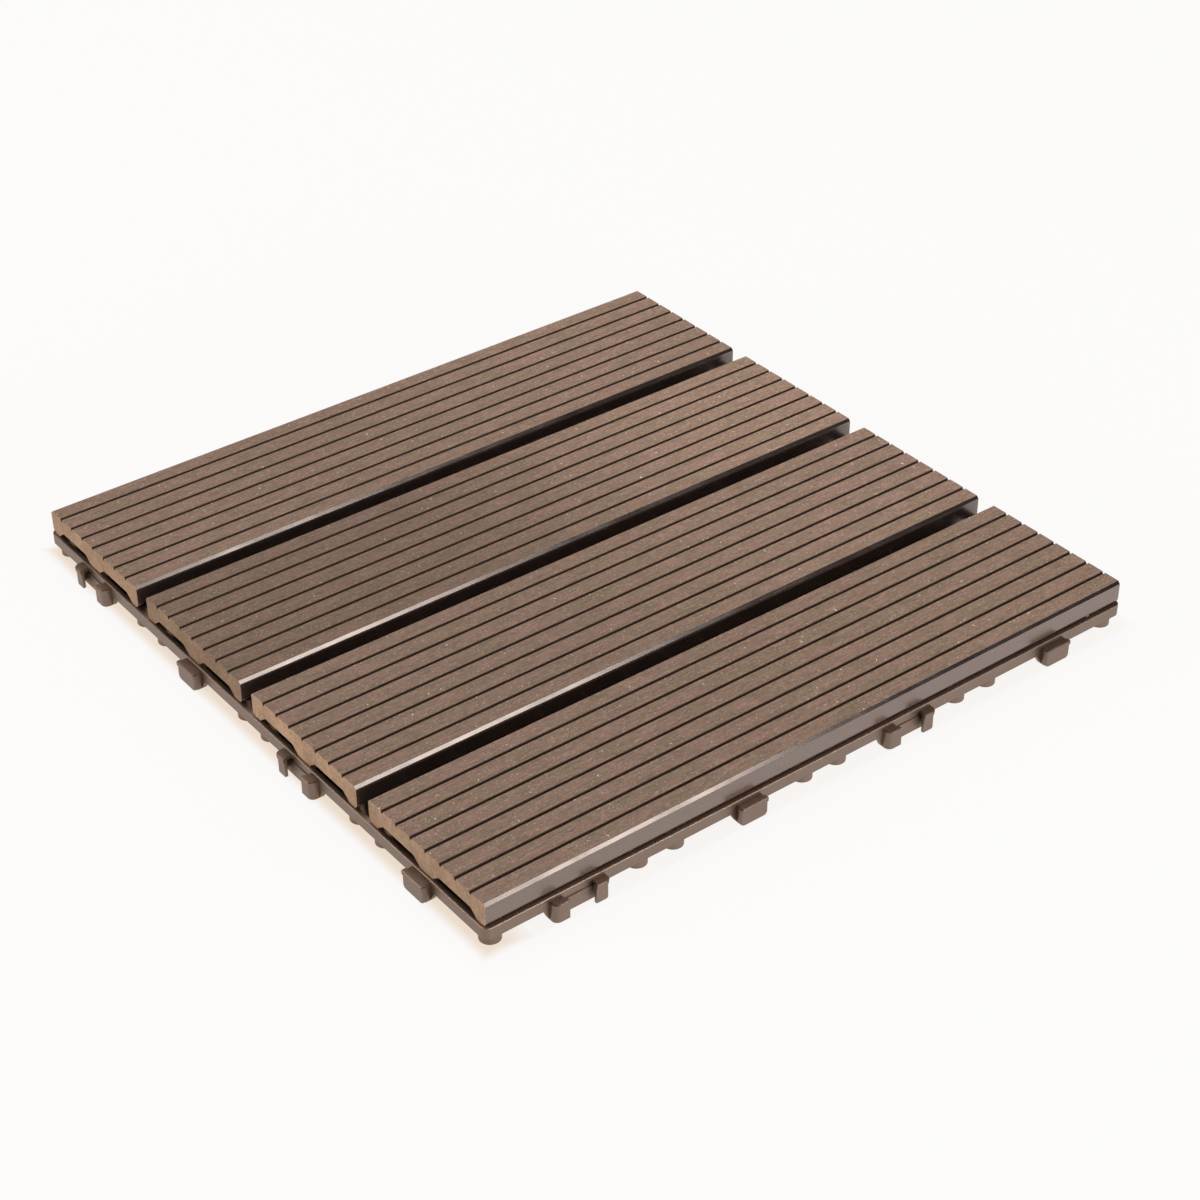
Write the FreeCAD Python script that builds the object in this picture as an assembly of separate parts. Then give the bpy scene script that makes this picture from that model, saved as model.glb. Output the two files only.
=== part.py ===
import FreeCAD, Part
import math
import os

from FreeCAD import Vector

# Interlocking deck tile: four grooved composite slats screwed from below to one moulded plastic base.
# Neighbouring tiles snap together by T-shaped tabs that drop between pairs of hollow pegs.
# Frame: X along the slats, Z up, origin on the ground under the middle of the tile. Millimetres.

# Whole tile
tile_side = 300.0
modules_per_side = 4

# Slats
slat_count = 4
slat_thickness = 9.8
slat_gap = 7.6
slat_setback = 1.1
slat_top_chamfer = 1.0
slat_bottom_radius = 2.0

# Grooves in the tread of each slat
groove_count = 7
groove_pitch = 8.65
groove_mouth = 1.5
groove_floor = 0.6
groove_depth = 1.1

# Two arches under each slat
centre_leg_width = 7.4
edge_leg_width = 5.0
arch_depth = 2.95
arch_slope_run = 3.7
arch_roof_radius = 1.2

# Lattice and rim of the base
base_height = 9.5
lattice_depth = 4.8
rim_thickness = 2.0
rim_corner_radius = 3.0
rim_edge_radius = 0.5
rib_thickness = 1.6
ribs_between_foot_lines = 2

# Feet
foot_diameter = 8.0
foot_rim_distance = 5.5
foot_line_offset = 8.0

# Screws that hold the slats, and their bosses
screw_diameter = 3.5
screw_tip_length = 2.5
screw_tip_gap = 0.5
thread_play = 0.05
head_diameter = 7.0
head_height = 2.2
head_edge_chamfer = 0.8
drive_width = 1.0
drive_span = 4.0
drive_depth = 1.3
head_side_play = 0.4
boss_seat_thickness = 2.0
boss_wall = 1.2
boss_hole_play = 0.35
pilot_cover = 1.0

# Connectors on the rim
joint_gap = 4.0
face_play = 0.1
catch_play = 0.3
stem_side_play = 0.35
head_slot_play = 0.3
connector_ground_gap = 0.2
connector_top_drop = 1.4
cap_thickness = 1.6
cap_front_lip = 0.4
cap_side_lip = 0.2
cap_chamfer = 0.35
cap_corner_radius = 0.7
stem_width = 10.4
stem_length = 2.0
head_overhang = 0.8
head_corner_radius = 1.8
head_edge_radius = 0.6
peg_hollow_width = 3.8
peg_wall = 1.5
peg_corner_radius = 2.5
ledge_drop = 0.5
tab_skirt_flare = 2.8
peg_skirt_flare = 2.2

# Sizes that follow from the ones above
tile_half = tile_side / 2
module = tile_side / modules_per_side
slat_length = tile_side - 2 * slat_setback
slat_width = (tile_side - 2 * slat_setback - (slat_count - 1) * slat_gap) / slat_count
slat_pitch = slat_width + slat_gap
arch_width = (slat_width - centre_leg_width - 2 * edge_leg_width) / 2
lattice_bottom = base_height - lattice_depth
rim_inner = tile_half - rim_thickness
border_foot_line = tile_half - foot_rim_distance
pilot_depth = slat_thickness - groove_depth - pilot_cover
screw_length = boss_seat_thickness + pilot_depth - screw_tip_gap
boss_seat_height = base_height - boss_seat_thickness
counterbore_diameter = head_diameter + 2 * head_side_play
boss_diameter = counterbore_diameter + 2 * boss_wall
connector_reach = joint_gap - face_play
connector_top = base_height - connector_top_drop
cap_bottom = connector_top - cap_thickness
wall_reach = connector_reach - cap_front_lip
tab_head_half = stem_width / 2 + head_overhang
tab_cap_half = tab_head_half + cap_side_lip
lip_back = joint_gap - stem_length + catch_play
slot_half = stem_width / 2 + stem_side_play
recess_half = tab_cap_half + head_slot_play
peg_outer = recess_half + peg_hollow_width + peg_wall
peg_wall_outer = peg_outer - cap_side_lip
ledge_reach = joint_gap - wall_reach - face_play
ledge_top = cap_bottom - ledge_drop


def rounded_wire(corners):
    """Closed wire through (point, radius) corners, each one eased by a tangent arc."""
    edges = []
    ends = []
    for index, (point, radius) in enumerate(corners):
        before = (corners[index - 1][0] - point).normalize()
        after = (corners[(index + 1) % len(corners)][0] - point).normalize()
        if radius == 0:
            ends.append((point, point))
            continue
        half_angle = before.getAngle(after) / 2
        inward = (before + after).normalize()
        reach = radius / math.tan(half_angle)
        middle = point + inward * (radius / math.sin(half_angle) - radius)
        start = point + before * reach
        end = point + after * reach
        edges.append(Part.Arc(start, middle, end).toShape())
        ends.append((start, end))
    for index in range(len(corners)):
        edges.append(Part.LineSegment(ends[index - 1][1], ends[index][0]).toShape())
    return Part.Wire(Part.__sortEdges__(edges))


def prism(corners, sweep):
    """Solid swept in a straight line from a rounded outline."""
    return Part.Face(rounded_wire(corners)).extrude(sweep)


def block(x_range, y_range, z_range):
    """Rectangular solid between two limits along each axis."""
    size = [high - low for low, high in (x_range, y_range, z_range)]
    return Part.makeBox(size[0], size[1], size[2], Vector(x_range[0], y_range[0], z_range[0]))


def centred_row(count, pitch):
    """Positions of a row of like features, even about zero."""
    return [(index - (count - 1) / 2) * pitch for index in range(count)]


def module_spans():
    """Clear span of each module: from foot line to foot line, or to the rim's inner face."""
    spans = []
    for index in range(modules_per_side):
        low = -tile_half + index * module + foot_line_offset
        high = low + module - 2 * foot_line_offset
        if index == 0:
            low = -rim_inner
        if index == modules_per_side - 1:
            high = rim_inner
        spans.append((low, high))
    return spans


def foot_lines():
    """Positions along one axis at which feet stand, the outermost ones close to the rim."""
    inner_lines = [edge for span in module_spans() for edge in span if abs(edge) < rim_inner]
    return [-border_foot_line] + inner_lines + [border_foot_line]


def cross_rib_lines():
    """X positions of the ribs that run across the slats and carry them."""
    lines = [line for line in foot_lines() if abs(line) < border_foot_line]
    for low, high in module_spans():
        spacing = (high - low) / (ribs_between_foot_lines + 1)
        lines += [low + spacing * (index + 1) for index in range(ribs_between_foot_lines)]
    return sorted(lines)


def long_rib_lines():
    """Y positions of the ribs along the slats: under their edge legs and their centre legs."""
    lines = [line for line in foot_lines() if abs(line) < border_foot_line]
    return sorted(lines + slat_centres())


def slat_centres():
    """Y positions of the slats' centre lines, front to back."""
    return centred_row(slat_count, slat_pitch)


def screw_stations():
    """X positions of the screws: midway along the clear span of each module."""
    return [(low + high) / 2 for low, high in module_spans()]


def slat_outline():
    """Section of a slat: grooved tread above, two arches between three legs below."""
    half = slat_width / 2
    shoulder = slat_thickness - slat_top_chamfer
    corners = [((-half, 0), slat_bottom_radius), ((-half, shoulder), 0)]
    corners.append(((-half + slat_top_chamfer, slat_thickness), 0))
    for centre in centred_row(groove_count, groove_pitch):
        root = slat_thickness - groove_depth
        corners.append(((centre - groove_mouth / 2, slat_thickness), 0))
        corners.append(((centre - groove_floor / 2, root), 0))
        corners.append(((centre + groove_floor / 2, root), 0))
        corners.append(((centre + groove_mouth / 2, slat_thickness), 0))
    corners.append(((half - slat_top_chamfer, slat_thickness), 0))
    corners += [((half, shoulder), 0), ((half, 0), slat_bottom_radius)]
    for outer in (half - edge_leg_width, -centre_leg_width / 2):
        inner = outer - arch_width
        corners.append(((outer, 0), 0))
        corners.append(((outer - arch_slope_run, arch_depth), arch_roof_radius))
        corners.append(((inner + arch_slope_run, arch_depth), arch_roof_radius))
        corners.append(((inner, 0), 0))
    return [(Vector(0, y, z), radius) for (y, z), radius in corners]


def make_slat(centre_y):
    """One extruded slat, sawn to length, with blind pilot holes up its centre leg."""
    slat = prism(slat_outline(), Vector(slat_length, 0, 0))
    slat.translate(Vector(-slat_length / 2, centre_y, base_height))
    pilots = []
    for station in screw_stations():
        foot = Vector(station, centre_y, base_height)
        pilots.append(Part.makeCylinder(screw_diameter / 2 + thread_play, pilot_depth, foot))
    return slat.cut(pilots)


def make_screw(station, centre_y):
    """Self-tapping screw with a cross recess, head down in its boss, point up in the slat."""
    radius = screw_diameter / 2
    head_radius = head_diameter / 2
    straight = screw_length - screw_tip_length
    profile = [
        (Vector(0, 0, -head_height), 0),
        (Vector(head_radius - head_edge_chamfer, 0, -head_height), 0),
        (Vector(head_radius, 0, -head_height + head_edge_chamfer), 0),
        (Vector(head_radius, 0, 0), 0),
        (Vector(radius, 0, 0), 0),
        (Vector(radius, 0, straight), 0),
        (Vector(0, 0, screw_length), 0),
    ]
    screw = Part.Face(rounded_wire(profile)).revolve(Vector(), Vector(0, 0, 1), 360)
    recess = (-head_height, -head_height + drive_depth)
    along = (-drive_span / 2, drive_span / 2)
    across = (-drive_width / 2, drive_width / 2)
    screw = screw.cut([block(along, across, recess), block(across, along, recess)])
    screw.translate(Vector(station, centre_y, boss_seat_height))
    return screw


def make_screws():
    """All the screws, four to a slat, as one group."""
    return Part.makeCompound([make_screw(x, y) for y in slat_centres() for x in screw_stations()])


def make_plate():
    """Rounded square plate with a softened top edge, from which the lattice's cells are cut."""
    corners = []
    for x, y in ((-1, -1), (1, -1), (1, 1), (-1, 1)):
        corners.append((Vector(x * tile_half, y * tile_half, lattice_bottom), rim_corner_radius))
    plate = prism(corners, Vector(0, 0, lattice_depth))
    top = max(plate.Faces, key=lambda face: face.CenterOfMass.z)
    return plate.makeFillet(rim_edge_radius, top.Edges)


def gaps_between(lines):
    """Open spans between neighbouring ribs, and between the outer ribs and the rim."""
    half_rib = rib_thickness / 2
    starts = [-rim_inner] + [line + half_rib for line in lines]
    ends = [line - half_rib for line in lines] + [rim_inner]
    return list(zip(starts, ends))


def make_lattice():
    """Rim and crossing ribs, with the drainage cells open from top to bottom."""
    height = (lattice_bottom, base_height)
    cells = []
    for x_span in gaps_between(cross_rib_lines()):
        for y_span in gaps_between(long_rib_lines()):
            cells.append(block(x_span, y_span, height))
    return make_plate().cut(cells)


def make_feet():
    """Round feet as full-height columns, with a web that joins each corner foot to the rim."""
    columns = []
    webs = []
    for x in foot_lines():
        for y in foot_lines():
            columns.append(Part.makeCylinder(foot_diameter / 2, base_height, Vector(x, y, 0)))
            if abs(x) == border_foot_line and abs(y) == border_foot_line:
                x_range = sorted((x, math.copysign(rim_inner, x)))
                y_range = sorted((y, math.copysign(rim_inner, y)))
                webs.append(block(x_range, y_range, (lattice_bottom, base_height)))
    return columns + webs


def make_bosses():
    """Round screw bosses on the ribs under the centre legs, before they are bored."""
    radius = boss_diameter / 2
    return [
        Part.makeCylinder(radius, lattice_depth, Vector(x, y, lattice_bottom))
        for x in screw_stations()
        for y in slat_centres()
    ]


def make_boss_bores():
    """Counterbore for each screw head and the clearance hole through its seat."""
    bores = []
    for x in screw_stations():
        for y in slat_centres():
            depth = boss_seat_height - lattice_bottom
            bores.append(Part.makeCylinder(counterbore_diameter / 2, depth, Vector(x, y, lattice_bottom)))
            hole_radius = screw_diameter / 2 + boss_hole_play
            bores.append(Part.makeCylinder(hole_radius, boss_seat_thickness, Vector(x, y, boss_seat_height)))
    return bores


def make_skirt(half_width, flare):
    """Tapered apron in the plane of the rim that carries a connector down to the ground."""
    corners = [
        (Vector(-half_width, 0, connector_ground_gap), 0),
        (Vector(half_width, 0, connector_ground_gap), 0),
        (Vector(half_width + flare, 0, lattice_bottom), 0),
        (Vector(-half_width - flare, 0, lattice_bottom), 0),
    ]
    return prism(corners, Vector(0, rim_thickness, 0))


def make_tab():
    """T-shaped tab, outward along -Y from the rim: stem, head plate and the cap over it."""
    embed = rim_thickness / 2
    stem = block(
        (-stem_width / 2, stem_width / 2), (-stem_length, embed), (connector_ground_gap, connector_top)
    )
    plate_corners = [
        (Vector(-tab_head_half, -stem_length, cap_bottom), 0),
        (Vector(-tab_head_half, -stem_length, connector_ground_gap), head_corner_radius),
        (Vector(tab_head_half, -stem_length, connector_ground_gap), head_corner_radius),
        (Vector(tab_head_half, -stem_length, cap_bottom), 0),
    ]
    plate = prism(plate_corners, Vector(0, stem_length - wall_reach, 0))
    plate = plate.makeFillet(head_edge_radius, front_edges(plate, cap_bottom))
    cap_corners = [
        (Vector(-tab_cap_half, -stem_length, cap_bottom), 0),
        (Vector(-tab_cap_half, -connector_reach, cap_bottom), cap_corner_radius),
        (Vector(tab_cap_half, -connector_reach, cap_bottom), cap_corner_radius),
        (Vector(tab_cap_half, -stem_length, cap_bottom), 0),
    ]
    cap = prism(cap_corners, Vector(0, 0, cap_thickness))
    cap = cap.makeChamfer(cap_chamfer, top_outer_edges(cap, -stem_length))
    return stem.fuse([plate, cap, make_skirt(stem_width / 2, tab_skirt_flare)])


def lies_at(edge, axis, value):
    """Whether both ends of an edge have the given coordinate along one axis."""
    return all(abs(vertex.Point[axis] - value) < face_play / 2 for vertex in edge.Vertexes)


def front_edges(plate, top):
    """Edges round the front face of a head plate, apart from the one under its cap."""
    return [edge for edge in plate.Edges if lies_at(edge, 1, -wall_reach) and not lies_at(edge, 2, top)]


def top_outer_edges(cap, inner_y):
    """Edges round the top of a cap, apart from the one along its inner side."""
    return [edge for edge in cap.Edges if lies_at(edge, 2, connector_top) and not lies_at(edge, 1, inner_y)]


def peg_plan(outer, reach, corner_radius, height):
    """Plan outline of one peg: square at the slot, rounded at its outer front corner."""
    embed = rim_thickness / 2
    return [
        (Vector(slot_half, embed, height), 0),
        (Vector(slot_half, -reach, height), 0),
        (Vector(outer, -reach, height), corner_radius),
        (Vector(outer, embed, height), 0),
    ]


def make_peg():
    """Hollow peg to the right of its slot, open below and towards the slot."""
    cap = prism(peg_plan(peg_outer, connector_reach, peg_corner_radius, cap_bottom), Vector(0, 0, cap_thickness))
    cap = cap.makeChamfer(cap_chamfer, top_outer_edges(cap, rim_thickness / 2))
    recess = block((slot_half, recess_half), (-lip_back, rim_thickness), (connector_ground_gap, connector_top))
    wall_corner_radius = peg_corner_radius - cap_side_lip
    wall = prism(
        peg_plan(peg_wall_outer, wall_reach, wall_corner_radius, connector_ground_gap),
        Vector(0, 0, cap_bottom - connector_ground_gap),
    )
    hollow = block(
        (slot_half, peg_wall_outer - peg_wall), (-lip_back, rim_thickness), (connector_ground_gap, cap_bottom)
    )
    return cap.cut(recess).fuse(wall.cut(hollow))


def make_peg_pair():
    """Two mirrored pegs, the stop ledge between them and the skirt behind them."""
    right = make_peg()
    left = right.mirror(Vector(), Vector(1, 0, 0))
    ledge_half = peg_wall_outer - peg_wall
    ledge = block((-ledge_half, ledge_half), (-ledge_reach, rim_thickness / 2), (connector_ground_gap, ledge_top))
    return right.fuse([left, ledge, make_skirt(peg_wall_outer, peg_skirt_flare)])


def make_side_connectors():
    """Connectors of the front side, from the left: pegs, tab, pegs, tab."""
    connectors = []
    for index, station in enumerate(centred_row(modules_per_side, module)):
        connector = make_tab() if index % 2 else make_peg_pair()
        connector.translate(Vector(station, -tile_half, 0))
        connectors.append(connector)
    return connectors


def make_connectors():
    """The front side's connectors, repeated by quarter turns round all four sides."""
    connectors = []
    for quarter in range(4):
        for connector in make_side_connectors():
            connector.rotate(Vector(), Vector(0, 0, 1), 90 * quarter)
            connectors.append(connector)
    return connectors


def make_base():
    """The whole moulding: lattice, feet, screw bosses and connectors in one piece."""
    base = make_lattice().fuse(make_feet() + make_bosses() + make_connectors())
    return base.removeSplitter().cut(make_boss_bores())


def export(name, shape):
    """Write one node's STEP file and print what it holds."""
    shape.exportStep("parts/" + name + ".step")
    bounds = shape.BoundBox
    size = "%.1f x %.1f x %.1f" % (bounds.XLength, bounds.YLength, bounds.ZLength)
    print(name, "solids", len(shape.Solids), "valid", shape.isValid(), "volume %.0f" % shape.Volume, size)


os.makedirs("parts", exist_ok=True)
export("base_grid", make_base())
for number, centre_y in enumerate(reversed(slat_centres()), start=1):
    export("deck_slat_%d" % number, make_slat(centre_y))
export("slat_screws", make_screws())
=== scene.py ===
import math

import bmesh
import bpy
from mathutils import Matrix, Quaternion, Vector


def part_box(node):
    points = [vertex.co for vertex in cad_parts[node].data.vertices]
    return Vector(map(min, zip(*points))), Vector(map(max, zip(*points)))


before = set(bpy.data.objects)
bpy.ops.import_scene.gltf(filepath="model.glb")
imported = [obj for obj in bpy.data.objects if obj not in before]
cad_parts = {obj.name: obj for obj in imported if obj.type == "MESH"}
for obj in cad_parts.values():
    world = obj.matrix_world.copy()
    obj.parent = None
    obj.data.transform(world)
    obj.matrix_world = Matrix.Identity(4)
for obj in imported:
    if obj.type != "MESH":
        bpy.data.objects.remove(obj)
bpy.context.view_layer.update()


# Camera: the tile is seen over its near left corner from about 35 degrees up, through a long lens.
# It fills most of the width of the square frame and lies about midway up it.
camera_azimuth = -37.44
camera_elevation = 35.12
camera_roll = math.radians(-0.42)
camera_distance = 0.96905
camera_target = Vector((-0.01458, -0.03581, 0.0193))
camera_lens_mm = 76.81
camera_sensor_mm = 36


def direction_to(azimuth, elevation):
    """Direction away from the tile: degrees from its front towards its right, and degrees up."""
    across = math.radians(azimuth)
    up = math.radians(elevation)
    return Vector((math.sin(across) * math.cos(up), -math.cos(across) * math.cos(up), math.sin(up)))


towards_camera = direction_to(camera_azimuth, camera_elevation)
level_camera = towards_camera.to_track_quat("Z", "Y")
camera = bpy.data.objects.new("camera", bpy.data.cameras.new("camera"))
camera.data.lens = camera_lens_mm
camera.data.sensor_width = camera_sensor_mm
camera.data.clip_start = 0.01
camera.location = camera_target + towards_camera * camera_distance
camera.rotation_mode = "QUATERNION"
camera.rotation_quaternion = level_camera @ Quaternion((0, 0, 1), camera_roll)
bpy.context.collection.objects.link(camera)
bpy.context.scene.camera = camera
bpy.context.scene.view_settings.view_transform = "Standard"


# Deck slats: four lengths of wood-plastic composite, extruded with grooves above and arches below.
# The tread is wire-brushed, the long faces keep the satin skin of the die, and the ends are sawn.
# They lie on the lattice and are screwed to it from below.
slat_names = sorted(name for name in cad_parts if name.startswith("deck_slat"))
# Tread tone of each slat at its left and right end: the slat's own tone with painted light and
# shade, darker at the left end and lighter towards the right, changing between the two x positions
# below.
slat_tones_and_light = ((0.98, 1.22), (0.77, 1.40), (0.93, 1.22), (0.95, 1.08))
end_tones = (1.18, 0.86, 1.42, 1.20)
light_gradient_start = -0.05
light_gradient_end = 0.12
brushed_browns = (
    (0.34, (0.270, 0.194, 0.132)),
    (0.49, (0.298, 0.196, 0.143)),
    (0.63, (0.328, 0.206, 0.160)),
)
sawn_browns = ((0.3, (0.255, 0.172, 0.118)), (0.7, (0.350, 0.240, 0.168)))
groove_browns = ((0.3, (0.072, 0.041, 0.026)), (0.7, (0.114, 0.067, 0.046)))
skin_browns = ((0.062, 0.040, 0.032), (0.090, 0.058, 0.047))
# Chamfer colour: the skin's colour made several times darker, as painted shade along the slats'
# edges.
chamfer_shaded_browns = ((0.012, 0.007, 0.006), (0.020, 0.012, 0.011))
wood_dust = (0.56, 0.42, 0.32)
wood_fleck = (0.85, 0.72, 0.59)
wood_chip = (0.47, 0.335, 0.228)
skin_mirror_tint = (1.0, 0.82, 0.72)
skin_roughness = 0.24
chamfer_roughness = 0.16


def node_calls(tree):
    """Two short calls: one adds a node with inputs and settings, one fills or joins an input."""
    def put(socket, value):
        if isinstance(value, bpy.types.NodeSocket):
            tree.links.new(value, socket)
        elif socket.type == "RGBA":
            socket.default_value = (*value, 1.0)
        else:
            socket.default_value = value

    def add(kind, inputs=None, **settings):
        item = tree.nodes.new("ShaderNode" + kind)
        for key, value in settings.items():
            setattr(item, key, value)
        for key, value in (inputs or {}).items():
            put(item.inputs[key], value)
        return item

    return add, put


def start_finish(name):
    """New material, the call that adds its nodes, the place on the piece, the surface's call."""
    material = bpy.data.materials.new(name)
    material.use_nodes = True
    add, put = node_calls(material.node_tree)
    shader = material.node_tree.nodes["Principled BSDF"]

    def set_surface(inputs):
        for key, value in inputs.items():
            put(shader.inputs[key], value)

    return material, add, add("TexCoord").outputs["Object"], set_surface


def calculate(add, operation, first, second=0.0):
    """One step of arithmetic."""
    return add("Math", {0: first, 1: second}, operation=operation).outputs[0]


def change(add, value, start, end, low, high, curve="SMOOTHSTEP"):
    """Low as far as the start, high from the end on, and a gradual change between them."""
    item = add("MapRange", {
        "Value": value, "From Min": start, "From Max": end, "To Min": low, "To Max": high,
    }, interpolation_type=curve)
    return item.outputs["Result"]


def stretched_noise(add, place, per_metre, detail, roughness):
    """Noise with its own number of grains to the metre along X, Y and Z."""
    scaled = add("Mapping", {"Vector": place, "Scale": per_metre})
    grain = add("TexNoise", {
        "Vector": scaled.outputs[0], "Scale": 1.0, "Detail": detail, "Roughness": roughness,
    })
    return grain.outputs["Fac"]


def ramp(add, value, stops):
    """Colour by value, through (position, colour) stops."""
    item = add("ValToRGB", {"Fac": value})
    elements = item.color_ramp.elements
    while len(elements) < len(stops):
        elements.new(0.5)
    for element, (position, colour) in zip(elements, stops):
        element.position = position
        element.color = (*colour, 1.0)
    return item.outputs["Color"]


def grey(level):
    """Three equal parts."""
    return (level, level, level)


def levels(add, value, stops):
    """Grey by value, through (position, level) stops."""
    return ramp(add, value, [(position, grey(level)) for position, level in stops])


def blend_colours(add, mode, amount, first, second):
    """Two colours mixed or multiplied together, at the colour sockets of a Mix node."""
    colour_a, colour_b, colour_result = 6, 7, 2
    item = add("Mix", {
        "Factor": amount, colour_a: first, colour_b: second,
    }, data_type="RGBA", blend_type=mode)
    return item.outputs[colour_result]


def shade(add, colour, pattern, stops):
    """Colour made darker and lighter by a pattern, through (position, level) stops."""
    return blend_colours(add, "MULTIPLY", 1.0, colour, levels(add, pattern, stops))


def speckle(add, place, colour, speck_colour, per_metre, size, share):
    """Small ragged specks on a colour, in a share of the cells of a grid with so many a metre."""
    wobble_grain = 1.3
    wobble_reach = 0.9
    wobble = add("TexNoise", {"Vector": place, "Scale": wobble_grain * per_metre, "Detail": 1.0})
    shifted = add("VectorMath", {
        0: wobble.outputs["Color"], 1: grey(wobble_reach / per_metre), 2: place,
    }, operation="MULTIPLY_ADD")
    cells = add("TexVoronoi", {
        "Vector": shifted.outputs[0], "Scale": per_metre, "Randomness": 1.0,
    })
    drawn = add("SeparateColor", {0: cells.outputs["Color"]}).outputs[0]
    small = calculate(add, "LESS_THAN", cells.outputs["Distance"], size)
    chosen = calculate(add, "LESS_THAN", drawn, share)
    speck = calculate(add, "MULTIPLY", small, chosen)
    return blend_colours(add, "MIX", speck, colour, speck_colour)


def relief(add, height, strength, depth):
    """Fine relief of the surface, with its depth in metres."""
    bump = add("Bump", {"Height": height, "Strength": strength, "Distance": depth})
    return bump.outputs[0]


def make_tread(name, left_tone_and_shade, right_tone_and_light):
    """Wire-brushed composite: fine streaks along the slat, cloudy browns, pale flecks of wood, and
    painted light that makes it darker at the left end and lighter towards the right.
    """
    material, add, place, set_surface = start_finish(name)
    streaks = stretched_noise(add, place, (70, 1400, 1400), detail=4.0, roughness=0.65)
    fibres = stretched_noise(add, place, (480, 1050, 900), detail=5.0, roughness=0.75)
    clouds = stretched_noise(add, place, (70, 170, 120), detail=4.0, roughness=0.65)
    along = add("SeparateXYZ", {0: place}).outputs["X"]
    # Painted light: the tread is made lighter from the left end towards the right.
    painted_light_gradient = change(add, along, light_gradient_start, light_gradient_end, left_tone_and_shade, right_tone_and_light)
    colour = ramp(add, clouds, brushed_browns)
    colour = shade(add, colour, streaks, ((0.32, 0.78), (0.66, 1.19)))
    colour = shade(add, colour, fibres, ((0.30, 0.68), (0.68, 1.30)))
    colour = speckle(add, place, colour, wood_dust, per_metre=1300, size=0.32, share=0.20)
    colour = speckle(add, place, colour, wood_fleck, per_metre=420, size=0.13, share=0.13)
    brushed = calculate(add, "ADD", streaks, fibres)
    set_surface({
        "Base Color": blend_colours(add, "MULTIPLY", 1.0, colour, painted_light_gradient),
        "Roughness": levels(add, fibres, ((0.3, 0.50), (0.7, 0.66))),
        "Specular IOR Level": 0.3,
        "Normal": relief(add, brushed, strength=0.55, depth=0.00012),
    })
    return material


def make_skin(name, dark, light, roughness):
    """Smooth skin left by the die, with faint drawn lines along the slat."""
    material, add, place, set_surface = start_finish(name)
    lines = stretched_noise(add, place, (25, 1800, 1800), detail=3.0, roughness=0.5)
    haze = stretched_noise(add, place, (60, 160, 160), detail=4.0, roughness=0.6)
    colour = blend_colours(add, "MIX", haze, dark, light)
    glossiest, dullest = roughness - 0.05, roughness + 0.06
    set_surface({
        "Base Color": shade(add, colour, lines, ((0.3, 0.90), (0.7, 1.08))),
        "Roughness": levels(add, haze, ((0.3, glossiest), (0.7, dullest))),
        "IOR": 2.0,
        "Specular Tint": skin_mirror_tint,
        "Coat Weight": 0.35,
        "Coat Roughness": 0.16,
        "Normal": relief(add, lines, strength=0.12, depth=0.00004),
    })
    return material


def make_sawn_end(name, tone):
    """Cross-cut composite: paler and open-grained, with upright saw marks and crumbs of wood."""
    material, add, place, set_surface = start_finish(name)
    crumbs = stretched_noise(add, place, (850, 850, 850), detail=6.0, roughness=0.8)
    marks = stretched_noise(add, place, (300, 1300, 160), detail=3.0, roughness=0.6)
    clouds = stretched_noise(add, place, (60, 60, 60), detail=2.0, roughness=0.5)
    colour = ramp(add, clouds, sawn_browns)
    colour = shade(add, colour, crumbs, ((0.30, 0.62), (0.68, 1.26)))
    colour = shade(add, colour, marks, ((0.3, 0.86), (0.7, 1.08)))
    colour = speckle(add, place, colour, wood_chip, per_metre=900, size=0.30, share=0.16)
    sawn = calculate(add, "ADD", crumbs, marks)
    set_surface({
        "Base Color": blend_colours(add, "MULTIPLY", 1.0, colour, grey(tone)),
        "Roughness": 0.85,
        "Specular IOR Level": 0.3,
        "Normal": relief(add, sawn, strength=0.6, depth=0.0002),
    })
    return material


def make_groove():
    """Cut flanks and floor of a groove: the same composite, unbrushed and dull."""
    material, add, place, set_surface = start_finish("groove")
    lines = stretched_noise(add, place, (60, 2400, 2400), detail=3.0, roughness=0.6)
    set_surface({
        "Base Color": ramp(add, lines, groove_browns),
        "Roughness": 0.8,
        "Specular IOR Level": 0.3,
    })
    return material


def coat(name, finishes):
    """Give a piece its finishes, one to each slot."""
    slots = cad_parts[name].data.materials
    slots.clear()
    for material in finishes:
        slots.append(material)


shared_finishes = [
    make_skin("slat_skin", *skin_browns, skin_roughness),
    # The chamfers take the skin finish with the darker colours: painted shade.
    make_skin("slat_chamfer_shaded", *chamfer_shaded_browns, chamfer_roughness),
    make_groove(),
]
tread, sawn_end, skin, chamfer, groove = range(5)
edge_strip = 0.0025
tread_zone = 0.0004
groove_zone = 0.0016
level_normal_z = 0.99
end_normal_x = 0.9
chamfer_normal_z = (0.5, 0.9)

for name, tones_and_light, end_tone in zip(slat_names, slat_tones_and_light, end_tones):
    low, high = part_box(name)
    coat(name, [
        make_tread("brushed_tread_" + name[-1], *tones_and_light),
        make_sawn_end("sawn_end_" + name[-1], end_tone),
    ] + shared_finishes)
    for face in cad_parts[name].data.polygons:
        centre, normal = face.center, face.normal
        between_edges = low.y + edge_strip < centre.y < high.y - edge_strip
        if abs(normal.x) > end_normal_x:
            face.material_index = sawn_end
        elif normal.z > level_normal_z and centre.z > high.z - tread_zone:
            face.material_index = tread
        elif between_edges and centre.z > high.z - groove_zone:
            face.material_index = groove
        elif chamfer_normal_z[0] < normal.z < chamfer_normal_z[1]:
            face.material_index = chamfer
        else:
            face.material_index = skin


# Base: one injection moulding in dark brown polypropylene, satin from the mould.
# Rim, lattice, round feet and the snap-in tabs and pegs are all one piece.
mould_browns = ((0.3, (0.018, 0.010, 0.007)), (0.7, (0.030, 0.018, 0.012)))
sawdust = (0.42, 0.33, 0.25)
mould_mirror_tint = (1.0, 0.73, 0.585)


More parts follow.
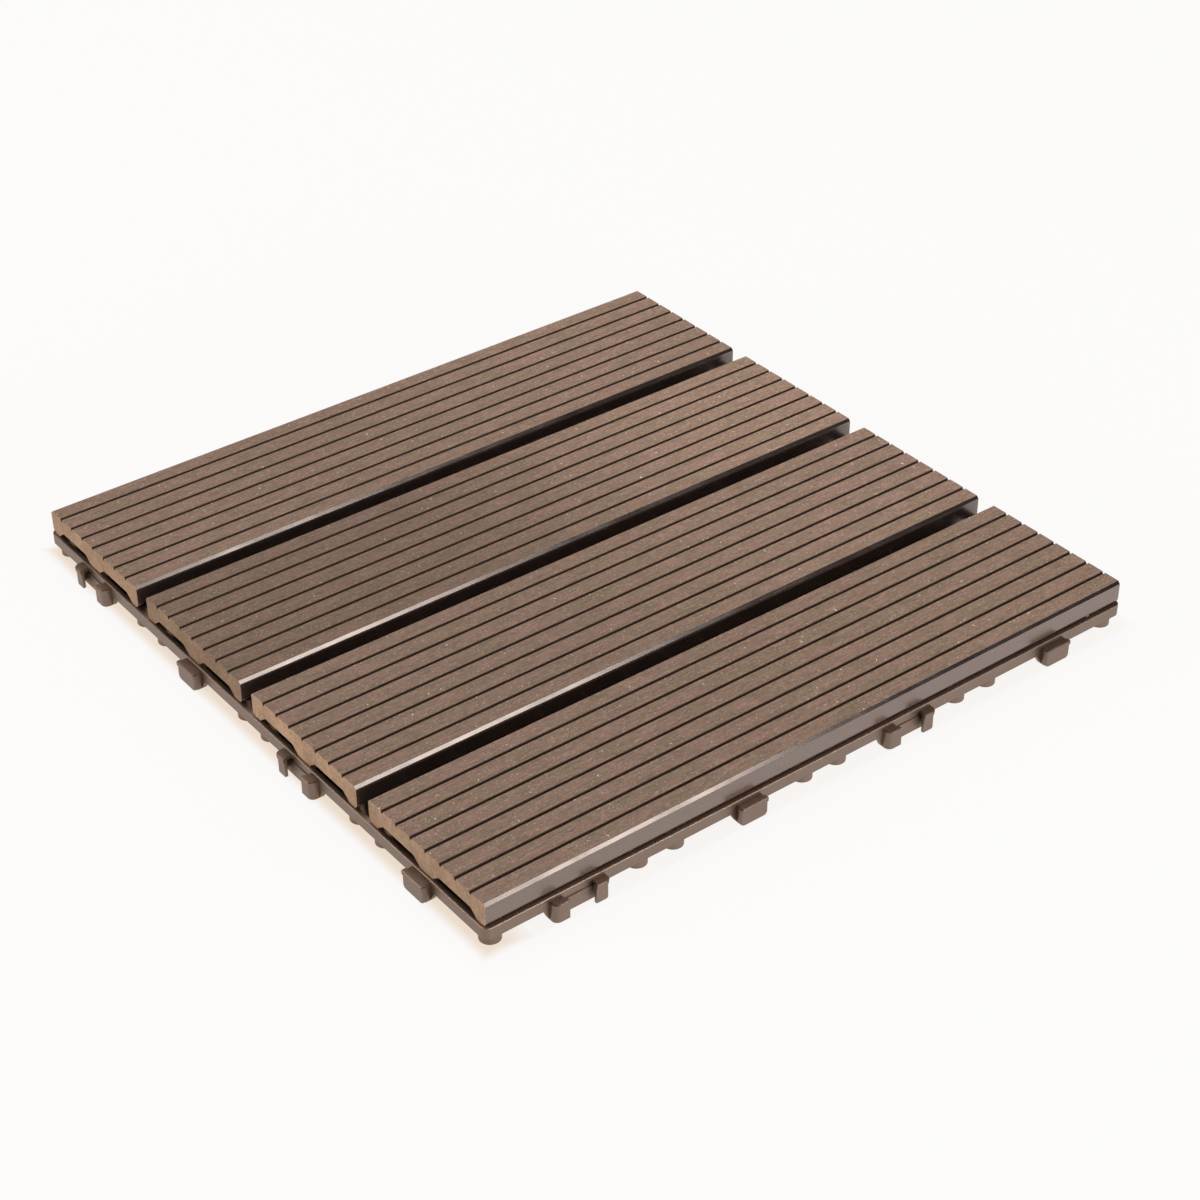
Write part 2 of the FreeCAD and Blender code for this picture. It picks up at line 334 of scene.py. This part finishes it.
def make_base_plastic():
    """Satin moulded plastic with a faint mould texture and a few crumbs of sawdust on it."""
    material, add, place, set_surface = start_finish("base_plastic")
    haze = stretched_noise(add, place, (90, 90, 90), detail=4.0, roughness=0.6)
    mould_grain = stretched_noise(add, place, (1400, 1400, 1400), detail=3.0, roughness=0.5)
    colour = ramp(add, haze, mould_browns)
    set_surface({
        "Base Color": speckle(add, place, colour, sawdust, per_metre=700, size=0.12, share=0.03),
        "Roughness": levels(add, haze, ((0.3, 0.36), (0.7, 0.48))),
        "IOR": 2.5,
        "Specular Tint": mould_mirror_tint,
        "Normal": relief(add, mould_grain, strength=0.2, depth=0.00005),
    })
    return material


coat("base_grid", [make_base_plastic()])


# Screws: self-tapping steel screws with a cross recess, plated against rust.
# They are driven up through the bosses of the lattice into the slats.
plated_greys = ((0.3, (0.50, 0.49, 0.46)), (0.7, (0.66, 0.65, 0.62)))


def make_screw_steel():
    """Plated steel, slightly clouded."""
    material, add, place, set_surface = start_finish("screw_steel")
    haze = stretched_noise(add, place, (700, 700, 700), detail=4.0, roughness=0.6)
    set_surface({
        "Base Color": ramp(add, haze, plated_greys),
        "Roughness": levels(add, haze, ((0.3, 0.28), (0.7, 0.42))),
        "Metallic": 1.0,
    })
    return material


coat("slat_screws", [make_screw_steel()])


# Floor: a wide white sweep under the tile, with its soft shadow, painted dark under the tile as
# shadow, and with painted warm shade as a cream tinge at the left side.
# The studio round it is white low down, as far as the tile's sides mirror it, and dim overhead.
# Distances from the tile's edges count outwards.
tile_half = 0.150
floor_half = 60.0
glow_start = -0.0075
glow_full = -0.0050
glow_share = 0.92
white_paper = (0.91, 0.89, 0.86)
cool_paper = (0.85, 0.92, 1.0)
# Colour of the floor under the tile: painted shadow, dark from a little inside the tile's edges
# inwards.
painted_shadow_under_tile = (0.035, 0.027, 0.022)
white_glow = (1.0, 0.988, 0.976)
# Cream glow close to the tile's edges, full at the left side and mostly cleared at the others:
# painted warm shade on the floor.
cream_painted_shade = (0.88, 0.75, 0.63)
cream_start = -0.0015
cream_end = 0.0045
corner_end = -0.018
front_clearness = 0.86
studio_white = (0.992, 0.986, 0.978)
ambient_strength = 0.08
white_wall_top = 0.02
dim_ceiling_start = 0.14

floor_shape = bmesh.new()
bmesh.ops.create_grid(floor_shape, x_segments=1, y_segments=1, size=floor_half)
floor_mesh = bpy.data.meshes.new("floor")
floor_shape.to_mesh(floor_mesh)
floor_shape.free()
floor = bpy.data.objects.new("floor", floor_mesh)
bpy.context.collection.objects.link(floor)


def seen_directly(add):
    """One for rays that show the stage: the camera's, mirrored and see-through ones."""
    path = add("LightPath").outputs
    shown = calculate(add, "MAXIMUM", path["Is Camera Ray"], path["Is Glossy Ray"])
    return calculate(add, "MAXIMUM", shown, path["Is Transmission Ray"])


def make_floor():
    """White paper that scatters the lamps' light and whose shadow is kept light to the eye, painted
    dark under the tile as shadow, with a cream glow along its edges as painted warm shade.
    """
    material = bpy.data.materials.new("floor")
    material.use_nodes = True
    nodes = material.node_tree.nodes
    add, put = node_calls(material.node_tree)
    place = add("SeparateXYZ", {0: add("TexCoord").outputs["Object"]}).outputs
    across = calculate(add, "ABSOLUTE", place["X"])
    along = calculate(add, "ABSOLUTE", place["Y"])
    reach = calculate(add, "MAXIMUM", across, along)
    outside_painted_shadow = change(add, reach, tile_half + glow_start, tile_half + glow_full, 0.0, 1.0)
    away = change(add, reach, tile_half + cream_start, tile_half + cream_end, 0.0, 1.0)
    past_corner = change(
        add, place["X"], -tile_half - glow_start, -tile_half - corner_end, 0.0, front_clearness,
        curve="LINEAR",
    )
    clear = calculate(add, "MAXIMUM", away, past_corner)
    # Painted shadow: the paper is dark under the tile and white from just inside its edges
    # outwards.
    paper = add("BsdfDiffuse", {
        "Color": blend_colours(add, "MIX", outside_painted_shadow, painted_shadow_under_tile, white_paper),
    })
    # Painted warm shade: the glow turns cream next to the tile.
    glow = add("Emission", {
        "Color": blend_colours(add, "MIX", clear, cream_painted_shade, white_glow), "Strength": 1.0,
    })
    shaded = add("BsdfDiffuse", {"Color": cool_paper})
    white = add("MixShader", {0: glow_share, 1: shaded.outputs[0], 2: glow.outputs[0]})
    seen_outside = calculate(add, "MULTIPLY", outside_painted_shadow, seen_directly(add))
    whole = add("MixShader", {0: seen_outside, 1: paper.outputs[0], 2: white.outputs[0]})
    put(nodes["Material Output"].inputs["Surface"], whole.outputs[0])
    nodes.remove(nodes["Principled BSDF"])
    return material


def light_studio():
    """World that is white low down to the eye and in mirrors, and a dim even fill otherwise."""
    world = bpy.data.worlds.new("studio")
    bpy.context.scene.world = world
    world.use_nodes = True
    add, put = node_calls(world.node_tree)
    direction = add("SeparateXYZ", {0: add("TexCoord").outputs["Generated"]}).outputs
    wall = change(
        add, direction["Z"], white_wall_top, dim_ceiling_start, 1.0 - ambient_strength, 0.0,
    )
    shown = calculate(add, "MULTIPLY", wall, seen_directly(add))
    background = world.node_tree.nodes["Background"]
    put(background.inputs["Color"], studio_white)
    put(background.inputs["Strength"], calculate(add, "ADD", shown, ambient_strength))


floor.data.materials.append(make_floor())
light_studio()


# Lamps: a wide soft box high behind the tile, a low one at its left, a low wide one in front,
# and a strip at the front right. The strip shows as the pale line along the near ends of the
# slats' edges.
warm_white = (1.0, 0.985, 0.965)
cream_white = (1.0, 0.89, 0.78)
plain_white = (1.0, 1.0, 1.0)


def add_lamp(name, azimuth, elevation, distance, width, height, watts, tint):
    """Rectangular soft box aimed at the tile, by degrees from its front and up, and in metres."""
    away = direction_to(azimuth, elevation)
    data = bpy.data.lights.new(name, "AREA")
    data.shape = "RECTANGLE"
    data.size = width
    data.size_y = height
    data.energy = watts
    data.color = tint
    lamp = bpy.data.objects.new(name, data)
    lamp.location = away * distance
    lamp.rotation_mode = "QUATERNION"
    lamp.rotation_quaternion = away.to_track_quat("Z", "Y")
    lamp.visible_camera = False
    bpy.context.collection.objects.link(lamp)


add_lamp("back_box", azimuth=165, elevation=62, distance=2.2,
         width=2.0, height=1.4, watts=23.0, tint=warm_white)
add_lamp("left_box", azimuth=-110, elevation=14, distance=2.0,
         width=1.4, height=0.6, watts=25.0, tint=cream_white)
add_lamp("front_box", azimuth=5, elevation=9, distance=2.0,
         width=1.6, height=0.4, watts=42.0, tint=warm_white)
add_lamp("edge_strip", azimuth=31, elevation=42, distance=2.4,
         width=0.40, height=0.75, watts=6.5, tint=plain_white)
